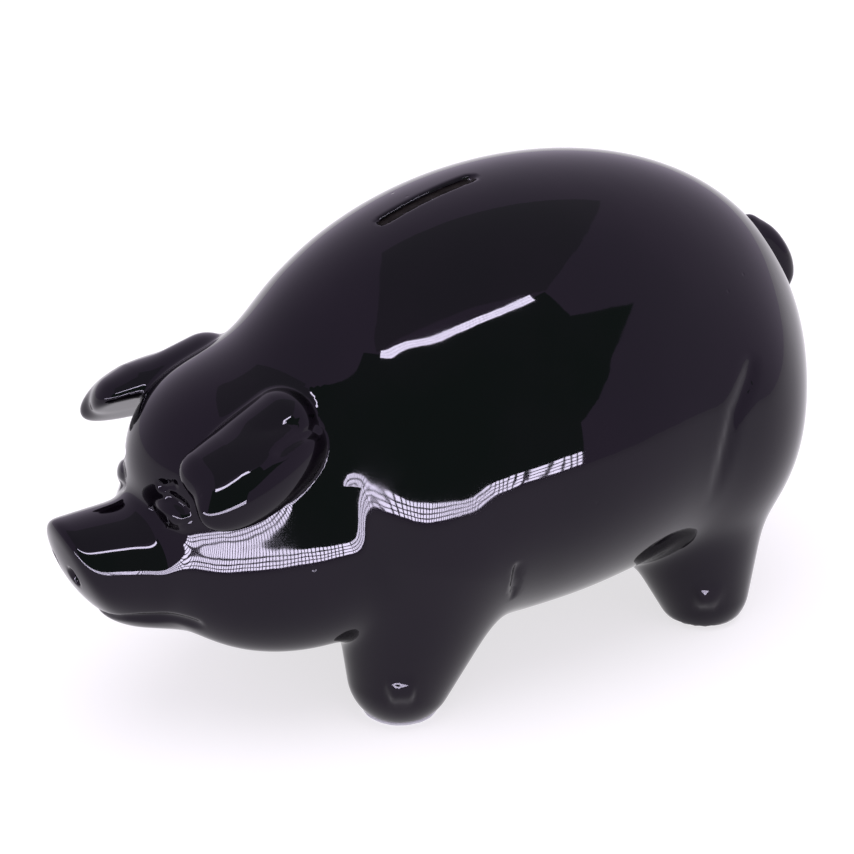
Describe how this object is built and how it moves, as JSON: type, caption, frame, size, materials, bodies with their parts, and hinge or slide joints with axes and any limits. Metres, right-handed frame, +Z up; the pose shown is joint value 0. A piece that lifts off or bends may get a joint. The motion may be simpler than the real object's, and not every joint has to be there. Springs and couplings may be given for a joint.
{
  "type": "piggy bank",
  "caption": "Free-standing hollow ceramic pig with a coin slot in its back and a soft plug under its belly, for saving coins.",
  "frame": {"origin": "on the standing surface, at the centre of the bounding box's bottom face, midway between snout and tail", "axes": "+Z up, -Y towards the snout, +X the pig's left"},
  "size_m": [0.1442, 0.2824, 0.1615],
  "materials": {
    "glaze": "mirror-gloss purple-black glaze",
    "stopper_rubber": "soft matt black",
    "felt": "pale felt"
  },
  "bodies": {
    "bank": {"body_shell": "glaze", "foot_pad_front_left": "felt", "foot_pad_front_right": "felt", "foot_pad_rear_left": "felt", "foot_pad_rear_right": "felt"},
    "stopper": {"belly_stopper": "stopper_rubber"}
  },
  "joints": [
    {"name": "stopper_pull", "type": "slide", "parent": "bank", "child": "stopper", "axis": [0, 0, -1], "range_m": [0, 0.01]}
  ]
}
